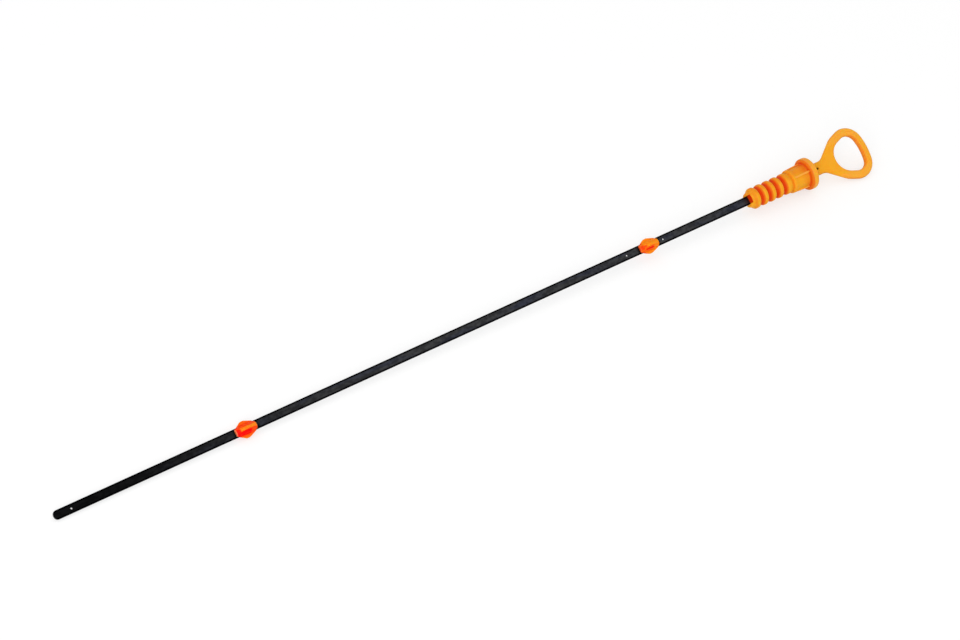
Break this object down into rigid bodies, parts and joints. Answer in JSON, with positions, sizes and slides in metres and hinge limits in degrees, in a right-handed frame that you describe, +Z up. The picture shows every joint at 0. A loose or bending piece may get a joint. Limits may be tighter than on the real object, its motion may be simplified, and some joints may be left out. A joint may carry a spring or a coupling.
{
  "type": "engine oil dipstick",
  "caption": "Oil dipstick: flat blackened steel blade with moulded guide beads and an orange handle with a ribbed sealing plug, a stop flange and a finger loop.",
  "frame": {"origin": "on the floor, under the centre of the bounding box", "axes": "+X along the blade from its tip to the finger loop, +Z up, with the dipstick lying as it comes to rest"},
  "size_m": [0.5128, 0.025, 0.0187],
  "materials": {
    "blackened_steel": "blackened spring steel, satin",
    "orange_plastic": "moulded, satin orange",
    "red_orange_plastic": "moulded, satin red-orange",
    "amber_plastic": "moulded, satin amber orange"
  },
  "bodies": {
    "root": {"blade": "blackened_steel", "upper_guide_bead": "orange_plastic", "lower_guide_bead": "red_orange_plastic", "handle": "amber_plastic"}
  },
  "joints": []
}
